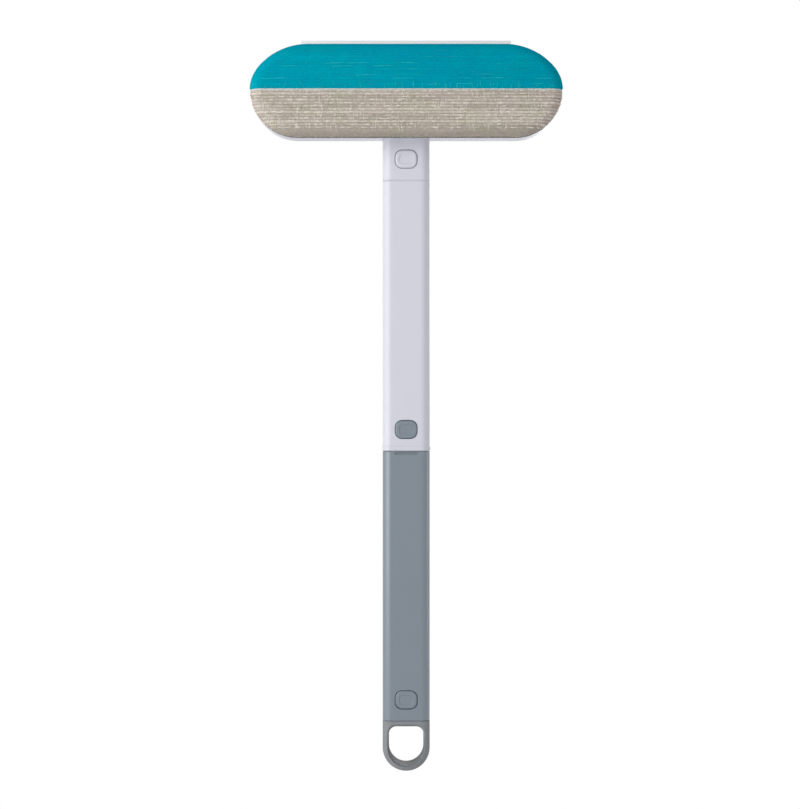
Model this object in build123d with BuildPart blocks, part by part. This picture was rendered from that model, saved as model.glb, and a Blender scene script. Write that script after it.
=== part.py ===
from build123d import *
import os

# Window scrubber, in millimetres. +Z runs up the handle to the head, +X is to the right,
# and the scrubbing pad faces -Y. The origin is the centre of the lower, grey handle tube.

# Handle tube, used twice: the white one above has a proud lip round its foot, the grey one a mark
tube_length = 156.8
tube_width = 27.4
tube_depth = 18.0
tube_corner = 5.0
tube_wall = 2.0
rim_bevel = 0.5
lip_height = 2.8
lip_proud = 0.4
lip_bevel = 0.35

# Shallow mark in the grey tube's front face, just under the middle joint
mark_width = 13.2
mark_height = 1.2
mark_sink = 0.8
mark_drop = 0.9

# Plug that enters the socket above it, and the stop ribs in the tube that its skirt stands on
plug_length = 24.0
plug_seat = 18.0
plug_gap = 0.15
plug_wall = 1.5
plug_web = 1.6
plug_lead = 1.2
plug_corner = 2.8
stop_width = 8.0
stop_height = 2.0
stop_proud = 1.2

# Press button in each joint
button_width = 12.7
button_height = 10.4
button_side_bow = 0.7
button_corner = 3.9
button_rise = 12.4
button_proud = 0.5
button_bevel = 0.7
button_gap = 0.3
flange_rim = 1.3
flange_thick = 1.3
dish_depth = 0.2
dish_rim = 2.4

# Leaf spring behind each button
spring_width = 7.0
spring_thick = 0.4
spring_bend = 1.4
spring_foot_gap = 0.1
spring_tip = 2.6
spring_leg = 16.5

# Scrubbing pad: two cloths over a foam and a board
pad_width = 179.0
pad_height = 52.8
pad_front = 25.5
pad_tip_radius = 21.0
pad_shoulder = 33.0
pad_edge = 6.0
first_bevel_share = 0.63
next_bevel_share = 0.27
cloth_thick = 1.6
cloth_fit = 0.15
hem_thick = 0.8
hem_width = 6.0
seam_width = 1.2
board_thick = 2.4

# Head shell behind the pad, with the neck that takes the upper tube's plug
shell_front = 12.0
shell_back = 2.0
shell_inset = 0.2
shell_wall = 2.0
shell_bevel = 1.4
neck_length = 23.9
neck_rise = 34.0

# Squeegee holder on the shell's back, and its blade
holder_length = 125.0
holder_depth = 6.4
holder_height = 12.0
holder_lift = 2.6
holder_round = 1.2
holder_seat = 0.6
blade_inset = 0.9
blade_thick = 1.5
bead_radius = 1.6
bead_rise = 3.6
blade_fit = 0.15
blade_reach = 4.2
blade_foot = 2.6
blade_tip = 0.9

# Screws that hold the board to the shell
screw_spacing = 88.0
screw_count = 2
screw_drop = 5.0
screw_radius = 1.4
screw_head_radius = 2.7
screw_head_height = 1.5
screw_length = 9.0
screw_fit = 0.15
post_half = 3.2
boss_half = 4.4
boss_thick = 3.5

# Hang loop at the bottom of the handle
loop_length = 29.5
loop_wall = 3.6
loop_bridge = 3.1
eye_corner = 4.4
eye_bevel = 1.3

# Levels and sizes that follow from the ones above
loop_joint = -tube_length / 2
mid_joint = tube_length / 2
neck_joint = mid_joint + tube_length
head_level = neck_joint + neck_length + pad_height / 2
tube_front = tube_depth / 2
socket_width = tube_width - 2 * tube_wall
socket_depth = tube_depth - 2 * tube_wall
socket_corner = tube_corner - tube_wall
plug_width = socket_width - 2 * plug_gap
plug_depth = socket_depth - 2 * plug_gap
cavity_width = plug_width - 2 * plug_wall
cavity_depth = plug_depth - 2 * plug_wall
flange_front = cavity_depth / 2
pad_back = shell_front
blade_length = holder_length - 2 * blade_inset
overrun = 1.0


def section(width, depth, corner, level):
    """A rounded rectangle, level with the ground at the height given."""
    with BuildSketch(Plane.XY.offset(level)) as profile:
        RectangleRounded(width, depth, corner)
    return profile.sketch


def facing(forward, level):
    """A plane that faces the front, so far forward of the handle's middle."""
    return Plane(origin=(0, -forward, level), x_dir=(1, 0, 0), z_dir=(0, -1, 0))


def button_outline(forward, joint, grow):
    """The button's outline: flat above and below, bowed at the sides, with round corners."""
    side = button_width / 2 + grow
    end = button_height / 2 + grow
    corner_x = side - button_side_bow
    with BuildSketch(facing(forward, joint + button_rise)) as outline:
        with BuildLine():
            ThreePointArc((corner_x, -end), (side, 0), (corner_x, end))
            Line((corner_x, end), (-corner_x, end))
            ThreePointArc((-corner_x, end), (-side, 0), (-corner_x, -end))
            Line((-corner_x, -end), (corner_x, -end))
        make_face()
        fillet(outline.vertices(), radius=button_corner + grow)
    return outline.sketch


def cut_window(joint):
    """Cuts the button's window through the front wall of the piece being made."""
    window = button_outline(tube_front + overrun, joint, button_gap)
    extrude(window, amount=-(tube_front + overrun), mode=Mode.SUBTRACT)


def cut_mark(joint):
    """Sinks the shallow mark into the front face, under the joint."""
    with BuildSketch(facing(tube_front, joint - mark_drop - mark_height / 2)) as mark:
        Rectangle(mark_width, mark_height)
    extrude(mark.sketch, amount=-mark_sink, mode=Mode.SUBTRACT)


def plug_core(level):
    """The plug's hollow, a plain rectangle at the height given."""
    with BuildSketch(Plane.XY.offset(level)) as core:
        Rectangle(cavity_width, cavity_depth)
    return core.sketch


def raise_plug(joint):
    """Adds the plug above the joint, with its button's cavity and window."""
    extrude(section(plug_width, plug_depth, plug_corner, joint), amount=plug_length)
    rim = faces().sort_by(Axis.Z)[-1].edges()
    chamfer(rim, length=plug_lead)
    extrude(plug_core(joint + plug_web), amount=plug_length, mode=Mode.SUBTRACT)
    cut_window(joint)


def handle_tube(foot, lipped):
    """A handle tube that stands on the level foot, a socket below and a seat for a plug above."""
    top = foot + tube_length
    stop_level = top - plug_seat - stop_height
    with BuildPart() as tube:
        extrude(section(tube_width, tube_depth, tube_corner, foot), amount=tube_length)
        chamfer(tube.edges().filter_by(Axis.Z, reverse=True), length=rim_bevel)
        if lipped:
            with BuildPart(mode=Mode.PRIVATE) as lip:
                lip_width = tube_width + 2 * lip_proud
                lip_depth = tube_depth + 2 * lip_proud
                extrude(section(lip_width, lip_depth, tube_corner + lip_proud, foot), amount=lip_height)
                chamfer(lip.edges().filter_by(Axis.Z, reverse=True), length=lip_bevel)
            add(lip.part)
        bore = section(socket_width, socket_depth, socket_corner, foot)
        extrude(bore, amount=tube_length, mode=Mode.SUBTRACT)
        with BuildSketch(Plane.XY.offset(stop_level)) as stops:
            Rectangle(stop_width, socket_depth + tube_wall)
            Rectangle(stop_width, socket_depth - 2 * stop_proud, mode=Mode.SUBTRACT)
        extrude(stops.sketch, amount=stop_height)
        cut_window(foot)
        if not lipped:
            cut_mark(top)
    return tube


def tube_plug(joint):
    """The insert in a tube's upper end: a skirt in the tube and the plug above it."""
    with BuildPart() as plug:
        skirt = section(plug_width, plug_depth, plug_corner, joint - plug_seat)
        extrude(skirt, amount=plug_seat)
        extrude(plug_core(joint - plug_seat), amount=plug_seat - plug_web, mode=Mode.SUBTRACT)
        raise_plug(joint)
    return plug


def press_button(joint):
    """The button: a dished cap with a bevelled edge, and the flange that keeps it in."""
    cap_front = tube_front + button_proud
    with BuildPart() as button:
        cap = button_outline(flange_front - flange_thick, joint, 0)
        extrude(cap, amount=cap_front - flange_front + flange_thick)
        chamfer(button.faces().sort_by(Axis.Y)[0].edges(), length=button_bevel)
        with BuildSketch(facing(flange_front, joint + button_rise)) as flange:
            Rectangle(button_width + 2 * flange_rim, button_height + 2 * flange_rim)
        extrude(flange.sketch, amount=-flange_thick)
        extrude(button_outline(cap_front, joint, -dish_rim), amount=-dish_depth, mode=Mode.SUBTRACT)
    return button


def leaf_spring(joint):
    """A bent steel strip: one leg on the plug's rear wall, the other behind the button."""
    rear = cavity_depth / 2 - spring_thick / 2
    touch = flange_thick - flange_front + spring_thick / 2
    foot = joint + plug_web + spring_foot_gap + spring_thick / 2
    top = foot + spring_leg
    route = [
        (rear, top),
        (rear, foot),
        (rear - 2 * spring_bend, foot),
        (touch, top - spring_tip),
        (touch + spring_tip, top),
    ]
    with BuildPart() as spring:
        with BuildSketch(Plane.YZ.offset(-spring_width / 2)) as strip:
            with BuildLine() as path:
                FilletPolyline(*route, radius=[spring_bend, spring_bend, spring_bend])
            trace(path.line, line_width=spring_thick)
        extrude(strip.sketch, amount=spring_width)
    return spring


def pad_outline(forward, inset):
    """The pad's outline, drawn in by the inset: round ends, cut leaner above the middle."""
    half = pad_width / 2 - inset
    radius = pad_height / 2 - inset
    tip_radius = pad_tip_radius - inset
    top_half = pad_width / 2 - pad_shoulder
    tip_x = half - tip_radius
    reach = tip_x - top_half
    shoulder_radius = (tip_radius ** 2 - radius ** 2 - reach ** 2) / (2 * (tip_radius - radius))
    span = shoulder_radius - tip_radius
    meet = (tip_x + tip_radius * reach / span, tip_radius * (shoulder_radius - radius) / span)
    with BuildSketch(facing(forward, head_level)) as outline:
        with BuildLine() as half_line:
            Line((0, radius), (top_half, radius))
            RadiusArc((top_half, radius), meet, shoulder_radius)
            RadiusArc(meet, (half, 0), tip_radius)
            RadiusArc((half, 0), (half - radius, -radius), radius)
            Line((half - radius, -radius), (0, -radius))
            mirror(half_line.line, about=Plane.YZ)
        make_face()
    return outline.sketch


def pad_form():
    """The pad's outer solid, with an edge turned in all round by three bevels."""
    with BuildPart() as form:
        extrude(pad_outline(pad_back, 0), amount=pad_front - pad_back)
        chamfer(form.faces().sort_by(Axis.Y)[0].edges(), length=pad_edge * first_bevel_share)
        rims = form.faces().sort_by(Axis.Y)[0].edges() + form.edges().group_by(Axis.Y)[2]
        chamfer(rims, length=pad_edge * next_bevel_share)
    return form


def pad_core(inset, back):
    """What the cloths wrap: the pad's solid with one bevel, which keeps inside the outer three."""
    with BuildPart() as core:
        extrude(pad_outline(back, inset), amount=pad_front - inset - back)
        chamfer(core.faces().sort_by(Axis.Y)[0].edges(), length=pad_edge - inset)
    return core


# Handle: two tubes, each with the plug, button and spring in its upper end
upper_tube = handle_tube(mid_joint, True)
upper_plug = tube_plug(neck_joint)
upper_button = press_button(neck_joint)
upper_spring = leaf_spring(neck_joint)

lower_tube = handle_tube(loop_joint, False)
lower_plug = tube_plug(mid_joint)
lower_button = press_button(mid_joint)
lower_spring = leaf_spring(mid_joint)

# Hang loop: a round-ended bow with its own plug above
loop_half = tube_width / 2
loop_foot = loop_joint - loop_length
eye_half = loop_half - loop_wall
eye_top = loop_joint - loop_bridge
eye_centre = loop_foot + loop_half


def eye_outline(forward, grow):
    """The eye's outline: square shoulders with round corners above, half a circle below."""
    half = eye_half + grow
    top = eye_top + grow
    with BuildSketch(facing(forward, 0)) as outline:
        with BuildLine():
            Line((-half, eye_centre), (-half, top))
            Line((-half, top), (half, top))
            Line((half, top), (half, eye_centre))
            ThreePointArc((half, eye_centre), (0, eye_centre - half), (-half, eye_centre))
        make_face()
        fillet(outline.vertices().group_by(Axis.Y)[-1], radius=eye_corner + grow)
    return outline.sketch


with BuildPart() as hang_loop:
    with BuildSketch(facing(tube_front, 0)):
        with BuildLine():
            Line((-loop_half, eye_centre), (-loop_half, loop_joint))
            Line((-loop_half, loop_joint), (loop_half, loop_joint))
            Line((loop_half, loop_joint), (loop_half, eye_centre))
            ThreePointArc((loop_half, eye_centre), (0, loop_foot), (-loop_half, eye_centre))
        make_face()
    extrude(amount=-tube_depth)
    bow_rims = hang_loop.edges().filter_by(Axis.Y, reverse=True)
    fillet(bow_rims.group_by(Axis.Z)[:-1][0] + bow_rims.filter_by(Axis.Z), radius=tube_corner)
    chamfer(hang_loop.faces().sort_by(Axis.Z)[-1].edges(), length=rim_bevel)
    extrude(eye_outline(tube_front, 0), amount=-tube_depth, mode=Mode.SUBTRACT)
    extrude(eye_outline(tube_front, eye_bevel), amount=-eye_bevel, taper=45, mode=Mode.SUBTRACT)
    extrude(eye_outline(-tube_front, eye_bevel), amount=eye_bevel, taper=45, mode=Mode.SUBTRACT)
    raise_plug(loop_joint)

loop_button = press_button(loop_joint)
loop_spring = leaf_spring(loop_joint)

# Pad: the cloths share one cap over the foam and the board, parted at the seam
board_back = pad_back + hem_thick
board_front = board_back + board_thick
pad_inset = cloth_thick + cloth_fit
seam_top = Plane.XY.offset(head_level + seam_width / 2)
seam_foot = Plane.XY.offset(head_level - seam_width / 2)
with BuildPart() as cloth_cap:
    add(pad_form().part)
    add(pad_core(cloth_thick, board_back).part, mode=Mode.SUBTRACT)
    hem_hole = pad_outline(pad_back, cloth_thick + hem_width)
    extrude(hem_hole, amount=hem_thick + overrun, mode=Mode.SUBTRACT)

with BuildPart() as teal_cloth:
    add(cloth_cap.part)
    split(bisect_by=seam_top, keep=Keep.TOP)

with BuildPart() as grey_cloth:
    add(cloth_cap.part)
    split(bisect_by=seam_foot, keep=Keep.BOTTOM)

with BuildPart() as seam_tape:
    add(cloth_cap.part)
    split(bisect_by=seam_top, keep=Keep.BOTTOM)
    split(bisect_by=seam_foot, keep=Keep.TOP)

with BuildPart() as pad_foam:
    add(pad_core(pad_inset, board_front).part)

# Board under the foam, with two square posts that the screws bite into
post_foot = boss_thick - shell_back
screw_level = head_level - screw_drop
screw_hole = screw_radius + screw_fit
with BuildPart() as pad_board:
    extrude(pad_outline(board_back, pad_inset), amount=board_thick)
    with BuildSketch(facing(post_foot, screw_level)) as posts:
        with GridLocations(screw_spacing, 0, screw_count, 1):
            Rectangle(2 * post_half, 2 * post_half)
    extrude(posts.sketch, amount=board_back - post_foot + board_thick / 2)
    with BuildSketch(facing(post_foot, screw_level)) as pilots:
        with GridLocations(screw_spacing, 0, screw_count, 1):
            Circle(screw_hole)
    extrude(pilots.sketch, amount=screw_length, mode=Mode.SUBTRACT)

# Head shell: a shallow tray behind the board, one moulding with the neck
neck_bend = neck_joint + neck_length
neck_top = neck_bend + neck_rise
holder_front = holder_seat - shell_back
holder_top = head_level + pad_height / 2 + holder_lift
holder_foot = holder_top - holder_height
behind = Plane(origin=(0, shell_back, screw_level), x_dir=(-1, 0, 0), z_dir=(0, 1, 0))
with BuildPart() as head_shell:
    extrude(pad_outline(shell_front, shell_inset), amount=-(shell_front + shell_back))
    chamfer(head_shell.faces().sort_by(Axis.Y)[-1].edges(), length=shell_bevel)
    with BuildPart(mode=Mode.PRIVATE) as neck:
        extrude(section(tube_width, tube_depth, tube_corner, neck_joint), amount=neck_top - neck_joint)
        chamfer(neck.faces().sort_by(Axis.Z)[0].edges(), length=rim_bevel)
        with BuildSketch(Plane.YZ.offset(-tube_width)) as slope:
            with BuildLine():
                TangentArc((tube_front, neck_bend), (shell_back, neck_top), tangent=(0, 1))
                Line((shell_back, neck_top), (tube_front + overrun, neck_top))
                Line((tube_front + overrun, neck_top), (tube_front + overrun, neck_bend))
                Line((tube_front + overrun, neck_bend), (tube_front, neck_bend))
            make_face()
        extrude(slope.sketch, amount=2 * tube_width, mode=Mode.SUBTRACT)
    add(neck.part)
    extrude(pad_outline(shell_front, shell_inset + shell_wall), amount=-shell_front, mode=Mode.SUBTRACT)
    socket = section(socket_width, socket_depth, socket_corner, neck_joint)
    extrude(socket, amount=plug_length + plug_gap, mode=Mode.SUBTRACT)
    cut_window(neck_joint)
    with BuildSketch(facing(post_foot, screw_level)) as bosses:
        with GridLocations(screw_spacing, 0, screw_count, 1):
            Rectangle(2 * boss_half, 2 * boss_half)
    extrude(bosses.sketch, amount=-boss_thick + shell_wall / 2)
    with Locations(behind):
        with GridLocations(screw_spacing, 0, screw_count, 1):
            CounterBoreHole(screw_hole, screw_head_radius + screw_fit,
                            screw_head_height + screw_fit, boss_thick)
    groove_top = head_level + pad_height / 2
    with BuildSketch(facing(-shell_back, (holder_foot + groove_top) / 2)) as groove:
        Rectangle(holder_length + 2 * blade_fit, groove_top - holder_foot + 2 * blade_fit)
    extrude(groove.sketch, amount=holder_seat, mode=Mode.SUBTRACT)

# Screws, both as one group
with BuildPart() as board_screws:
    head_front = screw_head_height + screw_fit - shell_back
    with BuildSketch(facing(head_front, screw_level)) as heads:
        with GridLocations(screw_spacing, 0, screw_count, 1):
            Circle(screw_head_radius)
    extrude(heads.sketch, amount=-screw_head_height)
    with BuildSketch(facing(head_front, screw_level)) as shanks:
        with GridLocations(screw_spacing, 0, screw_count, 1):
            Circle(screw_radius)
    extrude(shanks.sketch, amount=screw_length)

# Squeegee holder: a rail bonded in the shell's groove, with a keyhole slot for the blade
slot_middle = holder_depth / 2 - holder_front
bead_level = holder_foot + bead_rise
with BuildPart() as blade_holder:
    with BuildSketch(Plane.YZ.offset(-holder_length / 2)) as rail:
        with Locations((slot_middle, (holder_foot + holder_top) / 2)):
            Rectangle(holder_depth, holder_height)
        fillet(rail.vertices().group_by(Axis.X)[-1], radius=holder_round)
        with Locations((slot_middle, bead_level)):
            Circle(bead_radius + blade_fit, mode=Mode.SUBTRACT)
            Rectangle(blade_thick + 2 * blade_fit, 2 * holder_height,
                      align=(Align.CENTER, Align.MIN), mode=Mode.SUBTRACT)
    extrude(amount=holder_length)

# Squeegee blade: a bead in the keyhole, a web, and a lip that tapers to its edge
with BuildPart() as squeegee_blade:
    with BuildSketch(Plane.YZ.offset(-blade_length / 2)):
        with Locations((slot_middle, bead_level)):
            Circle(bead_radius)
            Rectangle(blade_thick, holder_top + blade_fit - bead_level,
                      align=(Align.CENTER, Align.MIN))
        lip_foot = holder_top + blade_fit / 2
        with BuildLine():
            Polyline((slot_middle - blade_foot / 2, lip_foot), (slot_middle + blade_foot / 2, lip_foot),
                     (slot_middle + blade_tip / 2, lip_foot + blade_reach),
                     (slot_middle - blade_tip / 2, lip_foot + blade_reach), close=True)
        make_face()
    extrude(amount=blade_length)

pieces = {
    "head_shell": head_shell,
    "pad_board": pad_board,
    "board_screws": board_screws,
    "pad_foam": pad_foam,
    "teal_cloth": teal_cloth,
    "grey_cloth": grey_cloth,
    "seam_tape": seam_tape,
    "blade_holder": blade_holder,
    "squeegee_blade": squeegee_blade,
    "upper_tube": upper_tube,
    "upper_plug": upper_plug,
    "upper_button": upper_button,
    "upper_spring": upper_spring,
    "lower_tube": lower_tube,
    "lower_plug": lower_plug,
    "lower_button": lower_button,
    "lower_spring": lower_spring,
    "hang_loop": hang_loop,
    "loop_button": loop_button,
    "loop_spring": loop_spring,
}

os.makedirs("parts", exist_ok=True)
for name, piece in pieces.items():
    piece.part.label = name
    export_step(piece.part, f"parts/{name}.step")
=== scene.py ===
import math

import bmesh
import bpy
import numpy as np
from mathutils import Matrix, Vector


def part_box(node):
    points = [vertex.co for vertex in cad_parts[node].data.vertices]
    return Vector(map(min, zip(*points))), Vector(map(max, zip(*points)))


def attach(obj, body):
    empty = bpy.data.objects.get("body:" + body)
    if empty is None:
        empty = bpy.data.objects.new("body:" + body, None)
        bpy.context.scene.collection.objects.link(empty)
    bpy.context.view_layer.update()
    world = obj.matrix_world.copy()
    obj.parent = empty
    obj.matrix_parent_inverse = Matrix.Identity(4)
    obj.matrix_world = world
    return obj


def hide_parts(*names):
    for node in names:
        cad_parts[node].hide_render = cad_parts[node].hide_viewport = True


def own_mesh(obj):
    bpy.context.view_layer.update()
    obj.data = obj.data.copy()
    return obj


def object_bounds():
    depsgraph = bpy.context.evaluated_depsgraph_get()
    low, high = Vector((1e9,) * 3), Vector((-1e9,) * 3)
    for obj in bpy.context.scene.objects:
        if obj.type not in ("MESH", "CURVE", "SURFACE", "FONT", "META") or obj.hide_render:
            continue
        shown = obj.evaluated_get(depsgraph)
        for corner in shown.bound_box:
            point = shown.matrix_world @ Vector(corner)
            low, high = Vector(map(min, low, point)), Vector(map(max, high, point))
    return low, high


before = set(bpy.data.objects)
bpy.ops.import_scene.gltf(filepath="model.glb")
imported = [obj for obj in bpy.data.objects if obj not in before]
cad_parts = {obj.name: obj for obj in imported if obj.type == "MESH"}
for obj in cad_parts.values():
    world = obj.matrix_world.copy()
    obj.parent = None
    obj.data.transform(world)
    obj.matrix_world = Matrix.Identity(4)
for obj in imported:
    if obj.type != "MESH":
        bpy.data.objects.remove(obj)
cad_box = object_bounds()

# Studio: the scrubber hangs upright over a pale floor, lit softly from the upper left.
# The camera stands straight in front, level with the middle of the whole scrubber.
camera_sensor_mm = 36.0
camera_lens_mm = 84.69
camera_place = (-0.0036, -1.1, 0.1053)
camera_data = bpy.data.cameras.new("studio_camera")
camera_data.sensor_fit = "HORIZONTAL"
camera_data.sensor_width = camera_sensor_mm
camera_data.lens = camera_lens_mm
studio_camera = bpy.data.objects.new("studio_camera", camera_data)
studio_camera.location = camera_place
studio_camera.rotation_euler = (math.pi / 2, 0.0, 0.0)
bpy.context.collection.objects.link(studio_camera)
bpy.context.scene.camera = studio_camera
bpy.context.scene.view_settings.view_transform = "Standard"


def softbox(name, place, target, wide, tall, power):
    """An upright studio lamp at a place, turned to the target."""
    lamp_data = bpy.data.lights.new(name, "AREA")
    lamp_data.shape = "RECTANGLE"
    lamp_data.size = wide
    lamp_data.size_y = tall
    lamp_data.energy = power
    lamp = bpy.data.objects.new(name, lamp_data)
    lamp.location = place
    aim = Vector(target) - Vector(place)
    lamp.rotation_euler = aim.to_track_quat("-Z", "Y").to_euler()
    bpy.context.collection.objects.link(lamp)


softbox("left_softbox", place=(-1.7, -0.50, 0.10), target=(0.0, 0.0, 0.10),
        wide=0.8, tall=1.8, power=4.8)
softbox("front_softbox", place=(-0.64, -0.66, 0.34), target=(0.0, 0.0, 0.15),
        wide=0.7, tall=1.0, power=5.6)
softbox("right_softbox", place=(1.6, 0.20, 0.10), target=(0.0, 0.0, 0.10),
        wide=0.5, tall=1.6, power=4.0)
softbox("rear_softbox", place=(0.3, 1.6, 0.6), target=(0.0, 0.0, 0.12),
        wide=0.9, tall=0.9, power=6.5)


def shown_background(tree):
    """Nodes that are 1 where the eye, a gloss or a glass looks, and 0 where light bounces."""
    path = tree.nodes.new("ShaderNodeLightPath")
    either = tree.nodes.new("ShaderNodeMath")
    either.operation = "MAXIMUM"
    tree.links.new(path.outputs["Is Camera Ray"], either.inputs[0])
    tree.links.new(path.outputs["Is Glossy Ray"], either.inputs[1])
    any_of_three = tree.nodes.new("ShaderNodeMath")
    any_of_three.operation = "MAXIMUM"
    tree.links.new(either.outputs[0], any_of_three.inputs[0])
    tree.links.new(path.outputs["Is Transmission Ray"], any_of_three.inputs[1])
    return any_of_three.outputs[0]


studio = bpy.data.worlds.new("studio")
bpy.context.scene.world = studio
studio.use_nodes = True
room = studio.node_tree
room_light = room.nodes["Background"]
room_light.inputs["Color"].default_value = (0.97, 0.985, 1.0, 1.0)
room_light.inputs["Strength"].default_value = 0.48
white_wall = room.nodes.new("ShaderNodeBackground")
white_wall.inputs["Strength"].default_value = 1.0
white_wall.inputs["Color"].default_value = (1.0, 1.0, 1.0, 1.0)
choice = room.nodes.new("ShaderNodeMixShader")
room.links.new(shown_background(room), choice.inputs["Fac"])
room.links.new(room_light.outputs[0], choice.inputs[1])
room.links.new(white_wall.outputs[0], choice.inputs[2])
room.links.new(choice.outputs[0], room.nodes["World Output"].inputs["Surface"])

# Floor of the studio: matt white paper. It keeps the scrubber's shadow where it lies near,
# and runs out into the plain white background further off.
floor_drop = 0.11
floor_half = 6.0
floor_level = cad_box[0].z - floor_drop
shadow_lift = 0.345
shadow_near = 0.20
shadow_far = 0.40
floor_mesh = bpy.data.meshes.new("pale_floor")
floor_mesh.from_pydata(
    [(-floor_half, -floor_half, floor_level), (floor_half, -floor_half, floor_level),
     (floor_half, floor_half, floor_level), (-floor_half, floor_half, floor_level)],
    [], [(0, 1, 2, 3)])
pale_floor = bpy.data.objects.new("pale_floor", floor_mesh)
bpy.context.collection.objects.link(pale_floor)
floor_paper = bpy.data.materials.new("pale_floor")
floor_paper.use_nodes = True
ground = floor_paper.node_tree
floor_matte = ground.nodes["Principled BSDF"]
floor_matte.inputs["Base Color"].default_value = (0.80, 0.80, 0.80, 1.0)
floor_matte.inputs["Roughness"].default_value = 0.9
floor_matte.inputs["Specular IOR Level"].default_value = 0.0
floor_shown = shown_background(ground)
lift_share = ground.nodes.new("ShaderNodeMath")
lift_share.operation = "MULTIPLY"
lift_share.inputs[1].default_value = shadow_lift
ground.links.new(floor_shown, lift_share.inputs[0])
near_lift = ground.nodes.new("ShaderNodeEmission")
ground.links.new(lift_share.outputs[0], near_lift.inputs["Strength"])
near_floor = ground.nodes.new("ShaderNodeAddShader")
ground.links.new(floor_matte.outputs[0], near_floor.inputs[0])
ground.links.new(near_lift.outputs[0], near_floor.inputs[1])
plain_white = ground.nodes.new("ShaderNodeEmission")
plain_white.inputs["Strength"].default_value = 1.0
far_floor = ground.nodes.new("ShaderNodeMixShader")
ground.links.new(floor_shown, far_floor.inputs["Fac"])
ground.links.new(floor_matte.outputs[0], far_floor.inputs[1])
ground.links.new(plain_white.outputs[0], far_floor.inputs[2])
floor_place = ground.nodes.new("ShaderNodeTexCoord")
floor_reach = ground.nodes.new("ShaderNodeVectorMath")
floor_reach.operation = "LENGTH"
ground.links.new(floor_place.outputs["Object"], floor_reach.inputs[0])
run_out = ground.nodes.new("ShaderNodeMapRange")
run_out.interpolation_type = "SMOOTHSTEP"
run_out.inputs["From Min"].default_value = shadow_near
run_out.inputs["From Max"].default_value = shadow_far
ground.links.new(floor_reach.outputs["Value"], run_out.inputs["Value"])
whole_floor = ground.nodes.new("ShaderNodeMixShader")
ground.links.new(run_out.outputs["Result"], whole_floor.inputs["Fac"])
ground.links.new(near_floor.outputs[0], whole_floor.inputs[1])
ground.links.new(far_floor.outputs[0], whole_floor.inputs[2])
ground.links.new(whole_floor.outputs[0], ground.nodes["Material Output"].inputs["Surface"])
floor_mesh.materials.append(floor_paper)


# White handle tube, its plug and button, and the head shell with its neck: injection-moulded
# plastic, a cool white with a satin skin. The mould leaves a faint orange peel on it, and its
# thin edges come out polished and slightly rounded.
def new_finish(name):
    """A new material, with its node tree and its shader."""
    material = bpy.data.materials.new(name)
    material.use_nodes = True
    return material, material.node_tree, material.node_tree.nodes["Principled BSDF"]


def noise(tree, scale, detail, stretch=(1.0, 1.0, 1.0)):
    """Noise in the piece's own space, which a stretch along each axis turns into lines."""
    place = tree.nodes.new("ShaderNodeTexCoord")
    mapping = tree.nodes.new("ShaderNodeMapping")
    mapping.inputs["Scale"].default_value = stretch
    texture = tree.nodes.new("ShaderNodeTexNoise")
    texture.inputs["Scale"].default_value = scale
    texture.inputs["Detail"].default_value = detail
    tree.links.new(place.outputs["Object"], mapping.inputs["Vector"])
    tree.links.new(mapping.outputs["Vector"], texture.inputs["Vector"])
    return texture


def vary_colour(tree, value, colour, other, socket):
    """Feeds a socket with a colour that turns into another as a value rises."""
    tint = tree.nodes.new("ShaderNodeMix")
    tint.data_type = "RGBA"
    tint.inputs["A"].default_value = (*colour, 1.0)
    tint.inputs["B"].default_value = (*other, 1.0)
    tree.links.new(value, tint.inputs["Factor"])
    tree.links.new(tint.outputs["Result"], socket)


def vary_number(tree, value, low, high, socket, value_low=0.0, value_high=1.0):
    """Feeds a socket with a number that rises from low to high as a value does."""
    span = tree.nodes.new("ShaderNodeMapRange")
    span.inputs["From Min"].default_value = value_low
    span.inputs["From Max"].default_value = value_high
    span.inputs["To Min"].default_value = low
    span.inputs["To Max"].default_value = high
    tree.links.new(value, span.inputs["Value"])
    tree.links.new(span.outputs["Result"], socket)


def roughen(tree, height, strength, distance, shader):
    """Fine relief on a shader, too small to be built."""
    bump = tree.nodes.new("ShaderNodeBump")
    bump.inputs["Strength"].default_value = strength
    bump.inputs["Distance"].default_value = distance
    tree.links.new(height, bump.inputs["Height"])
    tree.links.new(bump.outputs["Normal"], shader.inputs["Normal"])
    return bump


def moulded_plastic(name, colour, clouded, roughness, peel, gloss):
    """Satin moulded plastic: a slightly clouded colour over an orange-peel skin."""
    material, tree, shader = new_finish(name)
    shader.inputs["Specular IOR Level"].default_value = gloss
    flow = noise(tree, scale=28.0, detail=3.0).outputs["Fac"]
    vary_colour(tree, flow, colour, clouded, shader.inputs["Base Color"])
    vary_number(tree, flow, roughness - 0.05, roughness + 0.07, shader.inputs["Roughness"])
    skin = noise(tree, scale=1900.0, detail=2.0).outputs["Fac"]
    bump = roughen(tree, skin, strength=peel, distance=0.00004, shader=shader)
    soft_edge = tree.nodes.new("ShaderNodeBevel")
    soft_edge.samples = 6
    soft_edge.inputs["Radius"].default_value = 0.00035
    tree.links.new(soft_edge.outputs["Normal"], bump.inputs["Normal"])
    return material


def dress(node, material):
    """Gives a CAD node its finish."""
    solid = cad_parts[node]
    solid.data.materials.clear()
    solid.data.materials.append(material)


white_plastic = moulded_plastic(
    "white_plastic", (0.705, 0.71, 0.78), (0.675, 0.68, 0.75), roughness=0.32, peel=0.35, gloss=0.5)
for white_node in ("head_shell", "upper_tube", "upper_plug", "upper_button"):
    dress(white_node, white_plastic)

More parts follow.
